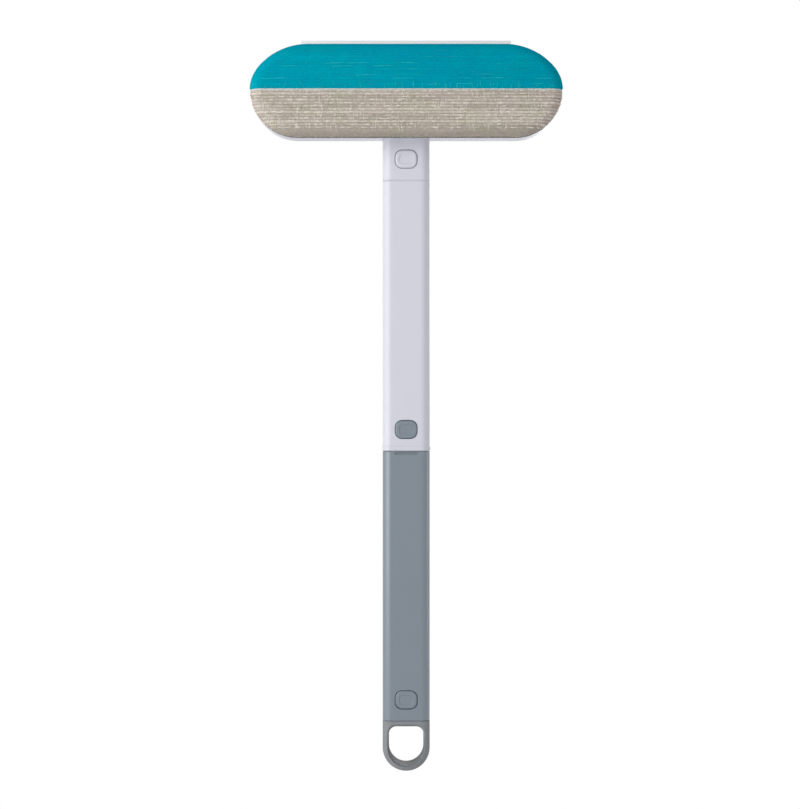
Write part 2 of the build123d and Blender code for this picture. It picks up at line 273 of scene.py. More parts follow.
# Grey handle tube, its plug and button, and the button in the loop: the same plastic in blue
# grey, with a slightly glossier skin that catches the lamp along the tube's left corner.
grey_plastic = moulded_plastic(
    "grey_plastic", (0.186, 0.228, 0.272), (0.172, 0.211, 0.252), roughness=0.30, peel=0.4, gloss=1.0)
for grey_node in ("lower_tube", "lower_plug", "lower_button", "loop_button"):
    dress(grey_node, grey_plastic)

# Hang loop: one moulding with its plug, in the same grey but from a more neutral batch.
# It is duller than the tube, and a painted shade darkens the inside of its eye.
loop_plastic = moulded_plastic(
    "loop_plastic", (0.285, 0.300, 0.312), (0.263, 0.277, 0.288), roughness=0.55, peel=0.5, gloss=0.06)
loop_tree = loop_plastic.node_tree
loop_colour = loop_tree.nodes["Principled BSDF"].inputs["Base Color"]
unshaded_colour = loop_colour.links[0].from_socket
# Painted shade: the loop's colour is darkened inside the eye, where shade falls in the bore.
eye_centre = -0.0942
eye_radius = 0.0101
eye_straight = 0.0026
eye_edge = eye_radius + 0.0001
eye_shade_fade = 0.0010
eye_shade_dark = 0.66
eye_place = loop_tree.nodes.new("ShaderNodeTexCoord")
from_eye = loop_tree.nodes.new("ShaderNodeMapping")
from_eye.inputs["Location"].default_value = (0.0, 0.0, -eye_centre)
from_eye.inputs["Scale"].default_value = (1.0, 0.0, 1.0)
loop_tree.links.new(eye_place.outputs["Object"], from_eye.inputs["Vector"])
above_eye = loop_tree.nodes.new("ShaderNodeVectorMath")
above_eye.operation = "MAXIMUM"
loop_tree.links.new(from_eye.outputs["Vector"], above_eye.inputs[0])
along_walls = loop_tree.nodes.new("ShaderNodeVectorMath")
along_walls.operation = "MINIMUM"
along_walls.inputs[1].default_value = (0.0, 0.0, eye_straight)
loop_tree.links.new(above_eye.outputs["Vector"], along_walls.inputs[0])
eye_reach = loop_tree.nodes.new("ShaderNodeVectorMath")
eye_reach.operation = "DISTANCE"
loop_tree.links.new(from_eye.outputs["Vector"], eye_reach.inputs[0])
loop_tree.links.new(along_walls.outputs["Vector"], eye_reach.inputs[1])
# Painted shade: the colour is scaled down inside the eye's edge.
eye_shaded = loop_tree.nodes.new("ShaderNodeVectorMath")
eye_shaded.operation = "SCALE"
loop_tree.links.new(unshaded_colour, eye_shaded.inputs[0])
vary_number(loop_tree, eye_reach.outputs["Value"], eye_shade_dark, 1.0, eye_shaded.inputs["Scale"],
            value_low=eye_edge, value_high=eye_edge + eye_shade_fade)
loop_tree.links.new(eye_shaded.outputs["Vector"], loop_colour)
dress("hang_loop", loop_plastic)

# Leaf springs: strips of blue-tempered spring steel, bent to a U and stood behind each button.
# The rolled strip shows fine lines along its length, and its sheared edges are eased.
spring_steel, steel_tree, steel_shader = new_finish("spring_steel")
steel_shader.inputs["Metallic"].default_value = 1.0
steel_lines = noise(steel_tree, scale=1.0, detail=3.0, stretch=(4200.0, 260.0, 260.0)).outputs["Fac"]
vary_colour(steel_tree, steel_lines, (0.42, 0.44, 0.48), (0.62, 0.63, 0.65),
            steel_shader.inputs["Base Color"])
vary_number(steel_tree, steel_lines, 0.22, 0.42, steel_shader.inputs["Roughness"])


def mesh_piece(name, points, faces, material):
    """A new piece from points and faces, shaded smooth."""
    mesh = bpy.data.meshes.new(name)
    mesh.from_pydata([tuple(p) for p in points], [], faces)
    mesh.polygons.foreach_set("use_smooth", [True] * len(mesh.polygons))
    mesh.materials.append(material)
    mesh.update()
    piece = bpy.data.objects.new(name, mesh)
    bpy.context.collection.objects.link(piece)
    return piece


def face_outward(piece):
    """Turns every face of a closed piece to look out, and keeps edges over 40 degrees crisp."""
    work = bmesh.new()
    work.from_mesh(piece.data)
    bmesh.ops.recalc_face_normals(work, faces=work.faces)
    for edge in work.edges:
        if len(edge.link_faces) == 2 and edge.calc_face_angle(0.0) > math.radians(40):
            edge.smooth = False
    work.to_mesh(piece.data)
    work.free()
    piece.data.update()


def tube_faces(first, rings, sides):
    """Faces between rings of points, listed ring by ring from a first point on."""
    faces = []
    for ring in range(rings - 1):
        for side in range(sides):
            a = first + ring * sides + side
            b = first + ring * sides + (side + 1) % sides
            faces.append((a, b, b + sides, a + sides))
    return faces


def bent_line(corners, bend, steps):
    """A strip's middle line through its corners, each but the end ones bent to a radius."""
    line = [np.array(corners[0])]
    for before, corner, after in zip(corners, corners[1:], corners[2:]):
        corner = np.array(corner)
        back = np.array(before) - corner
        on = np.array(after) - corner
        back = back / np.linalg.norm(back)
        on = on / np.linalg.norm(on)
        half_angle = math.acos(float(np.clip(back @ on, -1, 1))) / 2
        setback = bend / math.tan(half_angle)
        middle = back + on
        centre = corner + middle / np.linalg.norm(middle) * bend / math.sin(half_angle)
        first = corner + back * setback - centre
        last = corner + on * setback - centre
        turn = math.atan2(first[0] * last[1] - first[1] * last[0], float(first @ last))
        for step in range(steps + 1):
            angle = turn * step / steps
            swung = (first[0] * math.cos(angle) - first[1] * math.sin(angle),
                     first[0] * math.sin(angle) + first[1] * math.cos(angle))
            line.append(centre + np.array(swung))
    line.append(np.array(corners[-1]))
    return np.array(line)


spring_thick = 0.0004
spring_bend = 0.0014
spring_tip = 0.0026
spring_ease = 0.00008
spring_touch = -0.00385
bend_steps = 8


def leaf_spring(node):
    """One leaf spring, bent to its U, in the space that its CAD solid holds."""
    low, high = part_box(node)
    rear = high.y - spring_thick / 2
    foot = low.z + spring_thick / 2
    top = high.z
    corners = [(rear, top), (rear, foot), (rear - 2 * spring_bend, foot),
               (spring_touch, top - spring_tip), (spring_touch + spring_tip, top)]
    line = bent_line(corners, spring_bend, bend_steps)
    along = np.gradient(line, axis=0)
    along /= np.linalg.norm(along, axis=1)[:, None]
    across = np.stack([-along[:, 1], along[:, 0]], axis=1)
    points = []
    layers = [(low.x, spring_ease), (low.x + spring_ease, 0.0),
              (high.x - spring_ease, 0.0), (high.x, spring_ease)]
    for x, ease in layers:
        half = spring_thick / 2 - ease
        loop = np.concatenate([line + across * half, (line - across * half)[::-1]])
        points += [(x, y, z) for y, z in loop]
    around = 2 * len(line)
    faces = tube_faces(0, len(layers), around)
    for first in (0, (len(layers) - 1) * around):
        for k in range(len(line) - 1):
            faces.append((first + k, first + k + 1, first + around - 2 - k, first + around - 1 - k))
    piece = mesh_piece(node + "_leaf", points, faces, spring_steel)
    face_outward(piece)
    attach(piece, "scrubber")
    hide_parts(node)
    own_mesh(piece)


leaf_spring("upper_spring")
leaf_spring("lower_spring")
leaf_spring("loop_spring")

# Board inside the pad: a plain moulded plate that the cloths are pulled round,
# with two posts that take the screws from behind.
inner_plastic = moulded_plastic(
    "inner_plastic", (0.52, 0.52, 0.55), (0.47, 0.47, 0.50), roughness=0.5, peel=0.5, gloss=0.5)
dress("pad_board", inner_plastic)

# Screws: two plated steel screws from behind, through the shell into the board's posts.
# Each has a pan head with a cross recess and a coarse thread that bites into the plastic.
screw_steel, plating, plating_shader = new_finish("screw_steel")
plating_shader.inputs["Metallic"].default_value = 1.0
plating_grain = noise(plating, scale=2400.0, detail=3.0).outputs["Fac"]
vary_colour(plating, plating_grain, (0.55, 0.55, 0.54), (0.72, 0.72, 0.70),
            plating_shader.inputs["Base Color"])
vary_number(plating, plating_grain, 0.22, 0.40, plating_shader.inputs["Roughness"])

screws_low, screws_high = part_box("board_screws")
screw_level = (screws_low.z + screws_high.z) / 2
screw_sides = 48
head_radius = (screws_high.z - screws_low.z) / 2
head_rings = 22
head_face = 0.97
head_under = 0.96
head_rise = 0.0015
head_rounding = 0.00052
head_dome = 0.00035
head_bevel = 0.00015
cross_half = 0.00042
cross_reach = 0.0015
cross_depth = 0.00095
cross_rise = 0.0002
cross_wall = 0.0001
cross_end = 0.0002
core_radius = 0.00102
thread_height = 0.00034
thread_pitch = 0.0011
thread_width = 0.22
thread_steps = 90
thread_start = 8
thread_point = 16
point_share = 0.25


def turned_screw(name, x):
    """A screw as rings from the middle of its head, over the rim and down the thread to its tip."""
    angle = np.linspace(0, 2 * math.pi, screw_sides, endpoint=False)
    face = screws_high.y
    rings = []
    for share in np.linspace(0.01, 1.0, head_rings):
        radius = head_radius * head_face * share
        u = np.abs(radius * np.cos(angle))
        v = np.abs(radius * np.sin(angle))
        within_arm = np.clip((cross_half - np.minimum(u, v)) / cross_wall, 0, 1)
        reach = np.maximum(u, v)
        within_reach = np.clip((cross_reach - reach) / cross_end, 0, 1)
        recess = within_arm * within_reach * (cross_depth - cross_rise * reach / cross_reach)
        rings.append((radius, face - head_dome * share ** 2.4 - recess))
    rings.append((head_radius, face - head_rounding))
    rings.append((head_radius, face - head_rise + head_bevel))
    rings.append((head_radius * head_under, face - head_rise))
    thread_top = face - head_rise
    for step in range(thread_steps + 1):
        depth = thread_top + (screws_low.y - thread_top) * step / thread_steps
        turns = (depth / thread_pitch - angle / (2 * math.pi)) % 1.0
        ridge = np.clip(1 - np.abs(turns - 0.5) / thread_width, 0, 1)
        grown = min(1.0, step / thread_start)
        above_point = min(1.0, (thread_steps - step) / thread_point)
        taper = point_share + (1 - point_share) * above_point
        rings.append(((core_radius + thread_height * ridge * grown) * taper, depth))
    points = []
    for radius, depth in rings:
        ring = np.empty((screw_sides, 3))
        ring[:, 0] = x + radius * np.cos(angle)
        ring[:, 1] = depth
        ring[:, 2] = screw_level + radius * np.sin(angle)
        points += ring.tolist()
    faces = tube_faces(0, len(rings), screw_sides)
    faces += [tuple(range(screw_sides)), tuple(range(len(points) - screw_sides, len(points)))]
    piece = mesh_piece(name, points, faces, screw_steel)
    face_outward(piece)
    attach(piece, "scrubber")
    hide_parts("board_screws")


turned_screw("left_board_screw", screws_low.x + head_radius)
turned_screw("right_board_screw", screws_high.x - head_radius)

# Squeegee holder: an extruded rail of the same white plastic as the shell. It is bonded in the
# groove on the shell's back, and its two jaws grip the blade's bead.
dress("blade_holder", white_plastic)

# Squeegee blade: pale rubber, held by its bead and wiping with its tapered lip.
# The extruded strip has fine lines along its length and is duller than the plastic.
pale_rubber, rubber, rubber_shader = new_finish("pale_rubber")
rubber_shader.inputs["Specular IOR Level"].default_value = 0.35
rubber_lines = noise(rubber, scale=1.0, detail=2.0, stretch=(14.0, 2600.0, 2600.0)).outputs["Fac"]
vary_colour(rubber, rubber_lines, (0.94, 0.94, 0.94), (0.90, 0.90, 0.91),
            rubber_shader.inputs["Base Color"])
vary_number(rubber, rubber_lines, 0.46, 0.62, rubber_shader.inputs["Roughness"])
roughen(rubber, rubber_lines, strength=0.4, distance=0.00005, shader=rubber_shader)
dress("squeegee_blade", pale_rubber)

# Foam of the pad: a die-cut sheet of closed-cell foam between the board and the cloths.
# It shows nowhere, but it gives the pad its crown and its soft edge.
seam_low, seam_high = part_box("seam_tape")
pad_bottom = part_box("grey_cloth")[0].z
pad_middle = (seam_low.z + seam_high.z) / 2
seam_half = (seam_high.z - seam_low.z) / 2
pad_half_width = seam_high.x
pad_half_height = pad_middle - pad_bottom
pad_front = -seam_low.y
pad_back = -seam_high.y
pad_tip_radius = 0.021
pad_shoulder = 0.033
pad_edge = 0.006
pad_crown = 0.0010
crown_by_height = 0.55
crown_by_length = 0.45
pad_tip_x = pad_half_width - pad_tip_radius
pad_top_half = pad_half_width - pad_shoulder
shoulder_reach = pad_tip_x - pad_top_half
shoulder_bow = pad_tip_radius ** 2 - pad_half_height ** 2 - shoulder_reach ** 2
shoulder_radius = shoulder_bow / (2 * (pad_tip_radius - pad_half_height))
shoulder_drop = shoulder_radius - pad_half_height
edge_start = pad_half_height - pad_edge
edge_end = edge_start + pad_edge * math.pi / 2


def row_end(height, upper, inset=0.0):
    """Half the length of the pad's row at a height above or below its middle."""
    if not upper:
        run = pad_half_width - pad_half_height
        return run + np.sqrt(np.clip((pad_half_height - inset) ** 2 - height ** 2, 0, None))
    meet = (pad_tip_radius - inset) * shoulder_drop / (shoulder_radius - pad_tip_radius)
    tip = pad_tip_x + np.sqrt(np.clip((pad_tip_radius - inset) ** 2 - height ** 2, 0, None))
    rise = (shoulder_radius - inset) ** 2 - (height + shoulder_drop) ** 2
    shoulder = pad_top_half + np.sqrt(np.clip(rise, 0, None))
    return np.where(height < meet, tip, shoulder)


def depth_inside(along, height, upper):
    """How far a place on the face lies inside the pad's outline, and the way straight out of it."""
    far = np.abs(along)
    side = np.where(along < 0, -1.0, 1.0)
    if upper:
        in_shoulder = (far - pad_top_half) * shoulder_drop < (height + shoulder_drop) * shoulder_reach
        centre_x = np.where(in_shoulder, pad_top_half, pad_tip_x)
        centre_z = np.where(in_shoulder, -shoulder_drop, 0.0)
        radius = np.where(in_shoulder, shoulder_radius, pad_tip_radius)
        straight = far < pad_top_half
    else:
        centre_x = np.full_like(far, pad_half_width - pad_half_height)
        centre_z = np.zeros_like(far)
        radius = np.full_like(far, pad_half_height)
        straight = far < centre_x
    dx = np.where(straight, 0.0, far - centre_x)
    dz = height - centre_z
    distance = np.sqrt(dx ** 2 + dz ** 2) + 1e-12
    inside = np.where(straight, pad_half_height - height, radius - distance)
    out_x = np.where(straight, 0.0, dx / distance) * side
    out_z = np.where(straight, 1.0, dz / distance)
    return inside, out_x, out_z


def grid_faces(rows, columns):
    """Faces between the points of a grid, listed row by row."""
    faces = []
    for row in range(rows - 1):
        for a in range(row * columns, (row + 1) * columns - 1):
            faces.append((a, a + 1, a + columns + 1, a + columns))
    return faces


def fold_over(travel, reach, edge):
    """Height reached after a travel down the face and round its edge."""
    flat = reach - edge
    turn = np.clip((travel - flat) / edge, 0, math.pi / 2)
    return np.where(travel < flat, travel, flat + edge * np.sin(turn))


def pad_skin(share, travel, upper, inset=0.0):
    """Places and outward directions on the pad's crowned face and round edge."""
    edge = pad_edge - inset
    height = fold_over(travel, pad_half_height - inset, edge)
    along = row_end(height, upper, inset) * share
    inside, out_x, out_z = depth_inside(along, height, upper)
    inside = inside - inset
    turn = np.arcsin(np.clip((edge - inside) / edge, 0.0, 1.0))
    sag = crown_by_height * (height / pad_half_height) ** 2
    sag = sag + crown_by_length * (along / pad_half_width) ** 4
    face = pad_front - inset - pad_crown * sag
    depth = -(face - edge + edge * np.cos(turn))
    way = 1.0 if upper else -1.0
    places = np.stack([along, depth, pad_middle + way * height], axis=-1)
    out = np.stack([np.sin(turn) * out_x, -np.cos(turn), np.sin(turn) * out_z * way], axis=-1)
    return places, out


foam, foam_tree, foam_shader = new_finish("pad_foam")
foam_shader.inputs["Roughness"].default_value = 0.95
foam_place = foam_tree.nodes.new("ShaderNodeTexCoord")
foam_cells = foam_tree.nodes.new("ShaderNodeTexVoronoi")
foam_cells.inputs["Scale"].default_value = 900.0
foam_tree.links.new(foam_place.outputs["Object"], foam_cells.inputs["Vector"])
cell_wall = foam_cells.outputs["Distance"]
vary_colour(foam_tree, cell_wall, (0.45, 0.45, 0.43), (0.70, 0.70, 0.67),
            foam_shader.inputs["Base Color"])
roughen(foam_tree, cell_wall, strength=1.0, distance=0.0002, shader=foam_shader)

foam_inset = 0.0018
foam_travel = edge_start + (pad_edge - foam_inset) * math.pi / 2
foam_columns = 80
foam_half_rows = 24
foam_shares = np.sin(np.linspace(-math.pi / 2, math.pi / 2, foam_columns))
share_grid, travel_grid = np.meshgrid(foam_shares, np.linspace(0.0, foam_travel, foam_half_rows))
foam_upper, _ = pad_skin(share_grid, travel_grid, True, foam_inset)
foam_lower, _ = pad_skin(share_grid, travel_grid, False, foam_inset)
foam_face = np.concatenate([foam_upper[::-1], foam_lower[1:]], axis=0)
foam_rows = len(foam_face)
foam_points = foam_face.reshape(-1, 3).tolist()
foam_faces = grid_faces(foam_rows, foam_columns)
rim = list(range(foam_columns))
rim += [row * foam_columns + foam_columns - 1 for row in range(1, foam_rows)]
rim += [(foam_rows - 1) * foam_columns + column for column in range(foam_columns - 2, -1, -1)]
rim += [row * foam_columns for row in range(foam_rows - 2, 0, -1)]
foam_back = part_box("pad_foam")[1].y
first_back = len(foam_points)
foam_points += [[foam_points[index][0], foam_back, foam_points[index][2]] for index in rim]
for step in range(len(rim)):
    after = (step + 1) % len(rim)
    foam_faces.append((rim[step], rim[after], first_back + after, first_back + step))
foam_faces.append(tuple(range(first_back, first_back + len(rim))))
foam_piece = mesh_piece("pad_foam_block", foam_points, foam_faces, foam)
face_outward(foam_piece)
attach(foam_piece, "scrubber")
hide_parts("pad_foam")


# Cloths of the pad: knitted covers pulled tight over the foam and tucked in behind it.
# Their cords run along the pad. The grey one is coarse, with thick and thin yarn, and scrubs.
# The teal one is a fine nap, nearly smooth, and washes.
def uneven(along, across, step_along, step_across, seed):
    """Soft random unevenness from -1 to 1, with a step along the cords and one across them."""
    table = np.random.default_rng(seed).uniform(-1, 1, (257, 257))
    a = along / step_along
    b = across / step_across
    a0 = np.floor(a).astype(int)
    b0 = np.floor(b).astype(int)
    fa = a - a0
    fb = b - b0
    fa = fa * fa * (3 - 2 * fa)
    fb = fb * fb * (3 - 2 * fb)
    a0, b0, a1, b1 = a0 % 256, b0 % 256, (a0 + 1) % 256, (b0 + 1) % 256
    low = table[b0, a0] * (1 - fa) + table[b0, a1] * fa
    high = table[b1, a0] * (1 - fa) + table[b1, a1] * fa
    return low * (1 - fb) + high * fb


def drawn_to_ends(even, straight, flat):
    """Even stations from -1 to 1, spread over the flat face and drawn closer on the round ends."""
    far = np.abs(even)
    past = np.clip((far - straight) / (1 - straight), 0, 1)
    drawn = flat + (1 - flat) * np.sin(past * math.pi / 2)
    return np.sign(even) * np.where(far < straight, far / straight * flat, drawn)


cord_wander = 0.12
wander_run = 0.014
thick_run = 0.05
slub_share = 0.35
slub_run = 0.0018
tuft_run = 0.0011
tuft_width = 0.0008
third_cord = 0.25
loop_from = 0.3
hem_run = 0.002
hem_flat = 0.7
hem_light = 0.15
valley_light = 0.08
crest_full = 1.6
tuck_width = 0.0007
tuck_depth = 0.0004
seam_travel = seam_half * 0.5


def cord_relief(along, travel, knit):
    """Height of the cords above the cloth's ground, and how far up its own cord a place lies as a shade
    value: painted shade in the valleys, painted highlight on the crests.
    """
    pitch = knit["pitch"]
    wander = cord_wander * uneven(along, travel, wander_run, pitch, knit["seed"])
    phase = travel / pitch + wander
    cord = np.floor(phase)
    within = 2 * (phase - cord) - 1
    crest = np.sqrt(np.clip(1 - within ** 2, 0, 1))
    thick = 1 + knit["thick"] * uneven(along, cord * pitch, thick_run, pitch, knit["seed"] + 3)
    slub = 1 + slub_share * uneven(along, cord * pitch, slub_run, pitch, knit["seed"] + 1)
    tufts = uneven(along, travel, tuft_run, tuft_width, knit["seed"] + 2)
    calm = np.clip((travel - edge_start) / hem_run, 0, 1)
    relief = 1 - hem_flat * calm
    crest = crest * relief
    stitches = uneven(along, cord * pitch, knit["stitch"], pitch, knit["seed"] + 4)
    loops = np.clip(stitches - loop_from, 0, 1)
    proud = thick + third_cord * (np.mod(cord, 3) == 1) + knit["loops"] * loops
    # Painted shade and highlight: the colour value is dark in the cord valleys and light on the crests,
    # lighter still on every third cord and on the loops, and lighter where the cords calm before the
    # edge.
    shade = np.clip(crest * proud / crest_full + hem_light * calm, valley_light, 1)
    return knit["height"] * crest * thick * slub + knit["ragged"] * tufts * relief, shade


def cloth_lift(along, travel, knit):
    """How far the cloth's surface stands out of the pad's plain form, tucked in at the seam."""
    relief, crest = cord_relief(along, travel, knit)
    tuck = np.exp(-((travel - seam_travel) / tuck_width) ** 2)
    return relief * (1 - 0.5 * tuck) - tuck_depth * tuck + knit["ground"], crest


flat_columns = 0.86
flat_most = 0.93
edge_width = 1.25
wall_rows = 18
wall_blend = 3
side_from = 0.35
side_run = 0.5
hem_rows = 4
hem_shade_run = 0.2
hem_gap = 0.00012
hem_tuck = 0.0006
hem_fold = 0.0012
cloth_thick = 0.0008


def cloth_piece(name, upper, knit, material):
    """One cloth: its face and round edge with their cords, its wall, and its tucked hem."""
    rows = int((edge_end - seam_travel) / knit["pitch"] * knit["per_cord"])
    columns = knit["columns"]
    travel = np.linspace(seam_travel, edge_end, rows)
    even = np.linspace(-1.0, 1.0, columns)
    shares = []
    for end in row_end(fold_over(travel, pad_half_height, pad_edge), upper):
        flat = min(1 - pad_edge * edge_width / end, flat_most)
        shares.append(drawn_to_ends(even, flat_columns, flat))
    travel_grid = np.repeat(travel[:, None], columns, axis=1)
    places, out = pad_skin(np.array(shares), travel_grid, upper)
    lift, crest = cloth_lift(places[..., 0], travel_grid, knit)
    face = places + out * lift[..., None]

    border = [(row, 0) for row in range(rows)]
    border += [(rows - 1, column) for column in range(1, columns)]
    border += [(row, columns - 1) for row in range(rows - 2, -1, -1)]
    rim = tuple(np.array(border).T)
    rim_place, rim_out, rim_lift, rim_shade = places[rim], out[rim], lift[rim], crest[rim]
    beside_cords = np.clip((np.abs(rim_out[:, 2]) - side_from) / side_run, 0, 1)
    points = [face.reshape(-1, 3)]
    painted_shades = [crest.reshape(-1)]
    for step in range(1, wall_rows + 1):
        down = step / wall_rows
        depth = rim_place[:, 1] + (-pad_back - hem_gap - rim_place[:, 1]) * down
        wall_lift, wall_shade = cord_relief(rim_place[:, 0], edge_end + depth - rim_place[:, 1], knit)
        blend = beside_cords * min(1.0, step / wall_blend)
        mixed = (wall_lift + knit["ground"]) * blend + rim_lift * (1 - blend)
        close = max(0.0, 1 - (wall_rows - step) / hem_rows)
        mixed = mixed * (1 - close) + (knit["ground"] - hem_tuck * close) * close
        row_points = rim_place + rim_out * mixed[:, None]
        row_points[:, 1] = depth
        points.append(row_points)
        # Painted shade: along the cords, the wall's rear rows take the dark hem colour in place of the
        # shade on the pad's underside.
        underside_shade = np.clip((down - knit["hem"]) / hem_shade_run, 0, 1) * beside_cords
        painted_shades.append((wall_shade * blend + rim_shade * (1 - blend)) * (1 - underside_shade))
    points.append(points[-1] - rim_out * hem_fold)
    painted_shades.append(painted_shades[-1])

    faces = grid_faces(rows, columns)
    before = [row * columns + column for row, column in border]
    for step in range(wall_rows + 1):
        first = rows * columns + step * len(border)
        here = list(range(first, first + len(border)))
        for k in range(len(border) - 1):
            faces.append((before[k], before[k + 1], here[k + 1], here[k]))
        before = here
    if not upper:
        faces = [tuple(reversed(f)) for f in faces]
    piece = mesh_piece(name, np.concatenate(points).tolist(), faces, material)
    # The crest attribute carries the painted shade and highlight for the cloth's colour.
    mark = piece.data.attributes.new("crest", "FLOAT", "POINT")
    mark.data.foreach_set("value", np.concatenate(painted_shades).astype(np.float32))
    thickness = piece.modifiers.new("cloth_thickness", "SOLIDIFY")
    thickness.thickness = cloth_thick
    thickness.offset = -1.0
    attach(piece, "scrubber")
    return piece


def colour_ramp(tree, value, stops):
    """A colour that runs through its stops, each a position and a colour, as a value rises."""
    ramp = tree.nodes.new("ShaderNodeValToRGB")
    elements = ramp.color_ramp.elements
    for position, _ in stops[1:-1]:
        elements.new(position)
    for element, (position, colour) in zip(elements, stops):
        element.position = position
        element.color = (*colour, 1.0)
    tree.links.new(value, ramp.inputs["Fac"])
    return ramp.outputs["Color"]


def knitted_cloth(name, hem, valley, ground_colour, tip, gloss, streaks, cool, warm):
    """Knitted cloth: painted shade on the hem's underside and between the cords, painted highlight on
    their crests.
    """
    material, tree, shader = new_finish(name)
    shader.inputs["Roughness"].default_value = 0.92
    shader.inputs["Specular IOR Level"].default_value = gloss
    shader.inputs["Sheen Weight"].default_value = 0.2
    shader.inputs["Sheen Roughness"].default_value = 0.4
    shader.inputs["Sheen Tint"].default_value = (*tip, 1.0)
    # The ramp turns the crest attribute into painted shade with the hem and valley colours, and painted
    # highlight with the tip colour.
    shade_value = tree.nodes.new("ShaderNodeAttribute")
    shade_value.attribute_name = "crest"
    painted_shade = colour_ramp(tree, shade_value.outputs["Fac"],
                         ((0.0, hem), (0.08, valley), (0.45, ground_colour), (1.0, tip)))
    yarn = noise(tree, scale=1.0, detail=5.0, stretch=(620.0, 900.0, 1200.0))
    yarn.inputs["Roughness"].default_value = 0.65
    rubbed = noise(tree, scale=70.0, detail=2.0).outputs["Fac"]
    patches = colour_ramp(tree, rubbed, ((0.35, cool), (0.65, warm)))
    both = tree.nodes.new("ShaderNodeVectorMath")
    both.operation = "SCALE"
    tree.links.new(patches, both.inputs[0])
    vary_number(tree, yarn.outputs["Fac"], 1.0 - streaks, 1.0 + streaks, both.inputs["Scale"],
                value_low=0.3, value_high=0.7)
    shaded = tree.nodes.new("ShaderNodeMix")
    shaded.data_type = "RGBA"
    shaded.blend_type = "MULTIPLY"
    shaded.inputs["Factor"].default_value = 1.0
    tree.links.new(painted_shade, shaded.inputs["A"])
    tree.links.new(both.outputs[0], shaded.inputs["B"])
    tree.links.new(shaded.outputs["Result"], shader.inputs["Base Color"])
    roughen(tree, yarn.outputs["Fac"], strength=0.6, distance=0.00015, shader=shader)
    return material


# Each knit states its cords' pitch and relief, the shares of its unevenness, where its ground
# lies and where the painted shade on its hem begins, how far loose yarn strays on it, and the density
# of its mesh.
grey_knit = {
    "pitch": 0.00175, "height": 0.00042, "ragged": 0.00012, "thick": 0.4, "stitch": 0.0015,
    "loops": 0.9, "ground": -0.00028, "hem": 0.0, "stray": 0.5,
    "per_cord": 7, "columns": 560, "seed": 11}
# The hem colour is painted shade for the wall's underside, the valley colour painted shade between the
# cords, and the tip colour painted highlight on the crests.
grey_yarn = knitted_cloth(
    "grey_cord_cloth", hem=(0.12, 0.115, 0.11), valley=(0.34, 0.31, 0.265),
    ground_colour=(0.46, 0.418, 0.355), tip=(0.67, 0.62, 0.54), gloss=0.1, streaks=0.16,
    cool=(1.04, 0.98, 1.02), warm=(0.98, 1.0, 0.94))
grey_piece = cloth_piece("grey_scrub_cloth", False, grey_knit, grey_yarn)
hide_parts("grey_cloth")

teal_knit = {
    "pitch": 0.00175, "height": 0.00007, "ragged": 0.00004, "thick": 0.5, "stitch": 0.006,
    "loops": 0.3, "ground": 0.00045, "hem": 0.8, "stray": 0.3,
    "per_cord": 6, "columns": 420, "seed": 23}
teal_nap = knitted_cloth(
    "teal_nap_cloth", hem=(0.0, 0.24, 0.33), valley=(0.0, 0.300, 0.405),
    ground_colour=(0.0, 0.325, 0.435), tip=(0.0, 0.350, 0.465), gloss=0.0, streaks=0.05,
    cool=(0.96, 1.02, 0.98), warm=(1.0, 0.96, 1.0))
teal_piece = cloth_piece("teal_wash_cloth", True, teal_knit, teal_nap)
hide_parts("teal_cloth")


# Loose yarn of the cloths: pale filaments that lie along the cords or cross them, and short
# ends that stand out along the cloths' edge. They are teased out of the yarn by use.
strand_taper = 0.75


def yarn_ends(name, paths, ups, radius, material, slot_name):
    """Many fine closed strands, each along its own path, thinner at both ends."""
    count, steps = paths.shape[:2]
    along = np.gradient(paths, axis=1)
    along /= np.linalg.norm(along, axis=2, keepdims=True) + 1e-12
    side = np.cross(ups, along)
    side /= np.linalg.norm(side, axis=2, keepdims=True) + 1e-12
    up = np.cross(along, side)
    taper = 1 - strand_taper * np.abs(np.linspace(-1, 1, steps)) ** 3
    width = radius[:, None] * taper[None, :]
    rings = []
    for turn in (0.25, 0.75, 1.25, 1.75):
        way = side * math.cos(turn * math.pi) + up * math.sin(turn * math.pi)
        rings.append(paths + way * width[..., None])
    points = np.stack(rings, axis=2).reshape(-1, 3)
    faces = []
    for strand in range(count):
        first = strand * steps * 4
        last = first + (steps - 1) * 4
        faces += tube_faces(first, steps, 4)
        faces.append((first + 3, first + 2, first + 1, first))
        faces.append((last, last + 1, last + 2, last + 3))
    piece = mesh_piece(name, points.tolist(), faces, material)
    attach(piece, "scrubber")


lying_steps = 6
lying_end = pad_half_height - pad_edge * 0.4
cross_tilt = 0.3
cord_tilt = 0.06
cross_share = 0.6
cord_spread = 0.12
strand_wave = 0.00012
lying_reach = 0.985


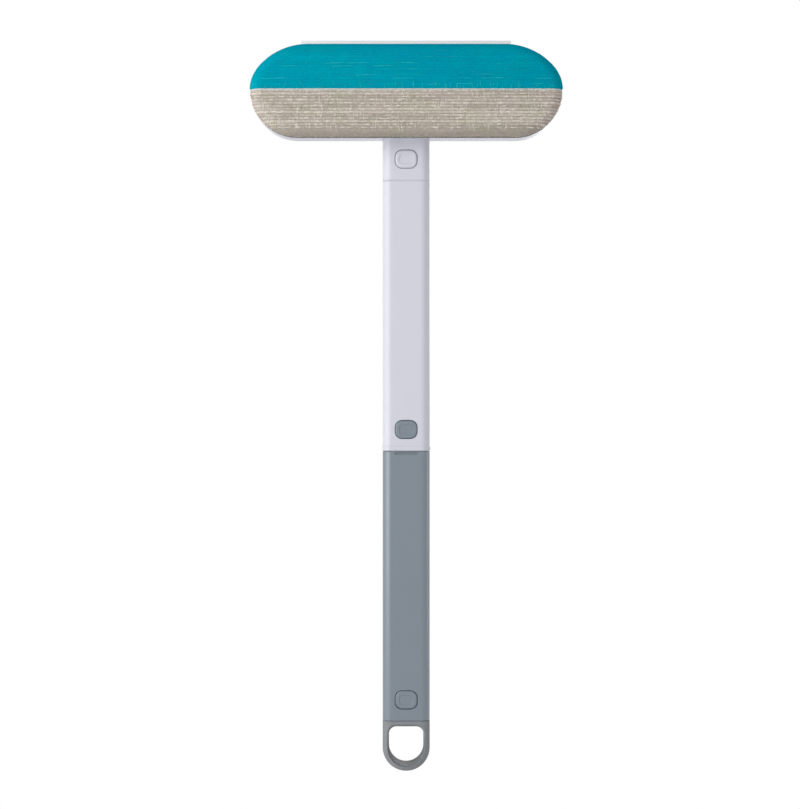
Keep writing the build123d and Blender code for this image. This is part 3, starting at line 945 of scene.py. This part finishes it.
def lying_strands(draw, count, upper, knit, length, crossing, radius, lift, reach_up=1.0):
    """Paths of strands that lie on a cloth's cords, a share of them across the cords."""
    stray = knit["stray"]
    reach = np.linspace(-0.5, 0.5, lying_steps)[None, :]
    size = draw.uniform(*length, count)[:, None]
    across = draw.random(count)[:, None] < crossing
    tilt = np.where(across, draw.normal(0, cross_tilt * stray, (count, 1)) + math.pi / 2,
                    draw.normal(0, cord_tilt * stray, (count, 1)))
    size = np.where(across, size * cross_share, size)
    cords = int(lying_end * reach_up / knit["pitch"])
    cord = draw.integers(0, cords, (count, 1)) + 0.5 + draw.normal(0, cord_spread, (count, 1))
    travel = cord * knit["pitch"]
    wave = draw.normal(0, strand_wave * stray, (count, lying_steps))
    travel = travel + size * reach * np.sin(tilt) + wave
    travel = np.clip(travel, seam_half * 0.8, lying_end + pad_edge * 0.5)
    ends = row_end(fold_over(travel, pad_half_height, pad_edge), upper)
    middle = draw.uniform(-lying_reach, lying_reach, (count, 1)) * ends[:, :1]
    along = middle + size * reach * np.cos(tilt)
    share = np.clip(along / ends, -0.999, 0.999)
    places, out = pad_skin(share, travel, upper)
    stand, _ = cloth_lift(places[..., 0], travel, knit)
    stand = stand + lift * (1 - (2 * reach) ** 4)
    thick = draw.uniform(*radius, count)
    return places + out * stand[..., None], out, thick


standing_steps = 5
edge_spread = 0.0022
tip_spread = 0.006
root_depth = 0.00005
lean_spread = np.array([0.8, 0.5, 0.5])
curl = 0.8


def standing_ends(draw, count, upper, knit, length, radius):
    """Paths of short strands that stand out of a cloth's round edge and wall, and curl over."""
    reach = np.linspace(0, 1, standing_steps)[None, :]
    at_end = draw.random((count, 1)) < 0.5
    travel = np.where(at_end, draw.uniform(0.0005, edge_end, (count, 1)),
                      edge_end - np.abs(draw.normal(0, edge_spread, (count, 1))))
    travel = np.clip(travel, seam_half, edge_end)
    near_tip = (1 - np.abs(draw.normal(0, tip_spread, (count, 1)))) * draw.choice((-1, 1), (count, 1))
    share = np.where(at_end, near_tip, draw.uniform(-0.97, 0.97, (count, 1)))
    share = np.clip(share, -1, 1)
    places, out = pad_skin(share, travel, upper)
    stand, _ = cloth_lift(places[..., 0], travel, knit)
    size = draw.uniform(*length, (count, 1))
    lean = draw.normal(0, 1, (count, 1, 3)) * lean_spread
    root = places + out * (stand - root_depth)[..., None]
    paths = root + out * (size * reach)[..., None] + lean * (size * reach ** 2 * curl)[..., None]
    ups = np.broadcast_to(lean + np.array([0.1, 1.0, 0.1]), paths.shape)
    return paths, ups, draw.uniform(*radius, count)


def fine_yarn(name, colour, shade, gloss):
    """Loose yarn: one colour, mottled from strand to strand, with a little gloss on it."""
    material, tree, shader = new_finish(name)
    shader.inputs["Roughness"].default_value = 0.7
    shader.inputs["Specular IOR Level"].default_value = gloss
    mottle = noise(tree, scale=420.0, detail=2.0).outputs["Fac"]
    vary_colour(tree, mottle, shade, colour, shader.inputs["Base Color"])
    return material


pale_yarn = fine_yarn("pale_yarn", (0.93, 0.89, 0.81), (0.72, 0.67, 0.58), 0.3)
teal_yarn = fine_yarn("teal_yarn", (0.03, 0.47, 0.58), (0.0, 0.33, 0.44), 0.0)
bright_yarn = fine_yarn("bright_teal_yarn", (0.04, 0.58, 0.60), (0.0, 0.42, 0.50), 0.0)
draw = np.random.default_rng(71)
grey_filaments = lying_strands(draw, 1500, False, grey_knit, length=(0.0009, 0.0040), crossing=0.28,
                               radius=(0.00006, 0.00013), lift=0.00010)
yarn_ends("grey_cloth_filaments", *grey_filaments, pale_yarn, "grey_cloth")
grey_slubs = lying_strands(draw, 420, False, grey_knit, length=(0.0010, 0.0034), crossing=0.12,
                           radius=(0.00018, 0.00030), lift=0.00002)
yarn_ends("grey_cloth_slubs", *grey_slubs, pale_yarn, "grey_cloth")
grey_stitches = lying_strands(draw, 130, False, grey_knit, length=(0.0040, 0.0120), crossing=1.0,
                              radius=(0.00013, 0.00021), lift=0.00005)
yarn_ends("grey_cloth_stitches", *grey_stitches, pale_yarn, "grey_cloth")
teal_filaments = lying_strands(draw, 420, True, teal_knit, length=(0.0015, 0.0100), crossing=0.05,
                               radius=(0.00004, 0.00008), lift=0.00005)
yarn_ends("teal_cloth_filaments", *teal_filaments, teal_yarn, "teal_cloth")
teal_slubs = lying_strands(draw, 26, True, teal_knit, length=(0.0030, 0.0160), crossing=0.0,
                           radius=(0.00014, 0.00024), lift=0.0, reach_up=0.7)
yarn_ends("teal_cloth_slubs", *teal_slubs, bright_yarn, "teal_cloth")
teal_stitches = lying_strands(draw, 70, True, teal_knit, length=(0.0025, 0.0070), crossing=1.0,
                              radius=(0.00015, 0.00026), lift=0.0, reach_up=0.16)
yarn_ends("teal_cloth_stitches", *teal_stitches, bright_yarn, "teal_cloth")
grey_fuzz = standing_ends(draw, 700, False, grey_knit, length=(0.0003, 0.0009),
                          radius=(0.00003, 0.00005))
yarn_ends("grey_cloth_fuzz", *grey_fuzz, pale_yarn, "grey_cloth")
teal_fuzz = standing_ends(draw, 320, True, teal_knit, length=(0.0002, 0.0005),
                          radius=(0.00003, 0.00004))
yarn_ends("teal_cloth_fuzz", *teal_fuzz, teal_yarn, "teal_cloth")


# Seam between the cloths: a narrow pale tape that both are overlocked to. It runs across the
# pad's face, round both ends and back to the hem, and its thread shows as small slanted stitches.
tape_stations = 260
tape_wall_stations = 14
tape_straight = 0.9
tape_edge = 1.3


def seam_line():
    """The seam's line: forward from the hem at one end, across the face, and back at the other."""
    wall = np.linspace(-pad_back, -(pad_front - pad_edge), tape_wall_stations)[:-1]
    flat = 1 - pad_edge * tape_edge / pad_half_width
    share = drawn_to_ends(np.linspace(-1, 1, tape_stations), tape_straight, flat)
    places, out = pad_skin(share, np.zeros_like(share), True)
    at_middle = np.full_like(wall, pad_middle)
    left = np.stack([np.full_like(wall, -pad_half_width), wall, at_middle], axis=-1)
    right = (left * np.array([-1, 1, 1]))[::-1]
    left_out = np.tile([-1.0, 0.0, 0.0], (len(wall), 1))
    return np.concatenate([left, places, right]), np.concatenate([left_out, out, -left_out])


seam_cord = fine_yarn("seam_cord", (0.80, 0.79, 0.76), (0.60, 0.64, 0.61), 0.2)
tape_half = 0.00042
tape_thick = 0.0005
tape_ripple = 0.00009
tape_twist = 0.00006
tape_line, tape_out = seam_line()
tape_profile = [(-1.0, -0.3), (-0.6, -0.05), (0.0, 0.0), (0.6, -0.05), (1.0, -0.3),
                (0.8, -1.0), (-0.8, -1.0)]
tape_points = []
for number, (place, out) in enumerate(zip(tape_line, tape_out)):
    ripple = tape_ripple * math.sin(number * 1.9) + tape_twist * math.sin(number * 0.83)
    for sideways, rise in tape_profile:
        lift = ripple * (rise > -0.5) + rise * tape_thick
        tape_points.append(place + out * lift + np.array([0.0, 0.0, sideways * tape_half]))
tape_sides = len(tape_profile)
tape_faces = tube_faces(0, len(tape_line), tape_sides)
tape_faces.append(tuple(range(tape_sides)))
tape_faces.append(tuple(range(len(tape_points) - tape_sides, len(tape_points))))
tape_piece = mesh_piece("seam_binding", tape_points, tape_faces, seam_cord)
face_outward(tape_piece)
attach(tape_piece, "scrubber")
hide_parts("seam_tape")

stitch_step = 0.0016
stitch_shift = 0.00018
stitch_half = 0.00062
stitch_slant = 0.00035
stitch_sink = 0.00008
stitch_dive = 0.00035
stitch_points = 7
spaces = np.concatenate([[0.0], np.cumsum(np.linalg.norm(np.diff(tape_line, axis=0), axis=1))])
stitch_count = int(spaces[-1] / stitch_step)
middles = (np.arange(stitch_count) + 0.5) * stitch_step
middles += draw.normal(0, stitch_shift, stitch_count)
reach = np.linspace(-1, 1, stitch_points)
stations = middles[:, None] + stitch_slant * reach[None, :]
stitch_paths = np.stack([np.interp(stations, spaces, tape_line[:, axis]) for axis in range(3)], axis=-1)
stitch_ups = np.stack([np.interp(stations, spaces, tape_out[:, axis]) for axis in range(3)], axis=-1)
half_length = stitch_half * draw.uniform(0.75, 1.15, stitch_count)
stitch_paths[..., 2] += half_length[:, None] * reach[None, :]
stitch_paths -= stitch_ups * (stitch_sink + stitch_dive * reach ** 4)[None, :, None]
stitch_radius = draw.uniform(0.00007, 0.00011, stitch_count)
seam_thread = fine_yarn("seam_thread", (0.74, 0.75, 0.72), (0.55, 0.60, 0.58), 0.2)
yarn_ends("seam_stitches", stitch_paths, stitch_ups, stitch_radius, seam_thread, "seam_tape")
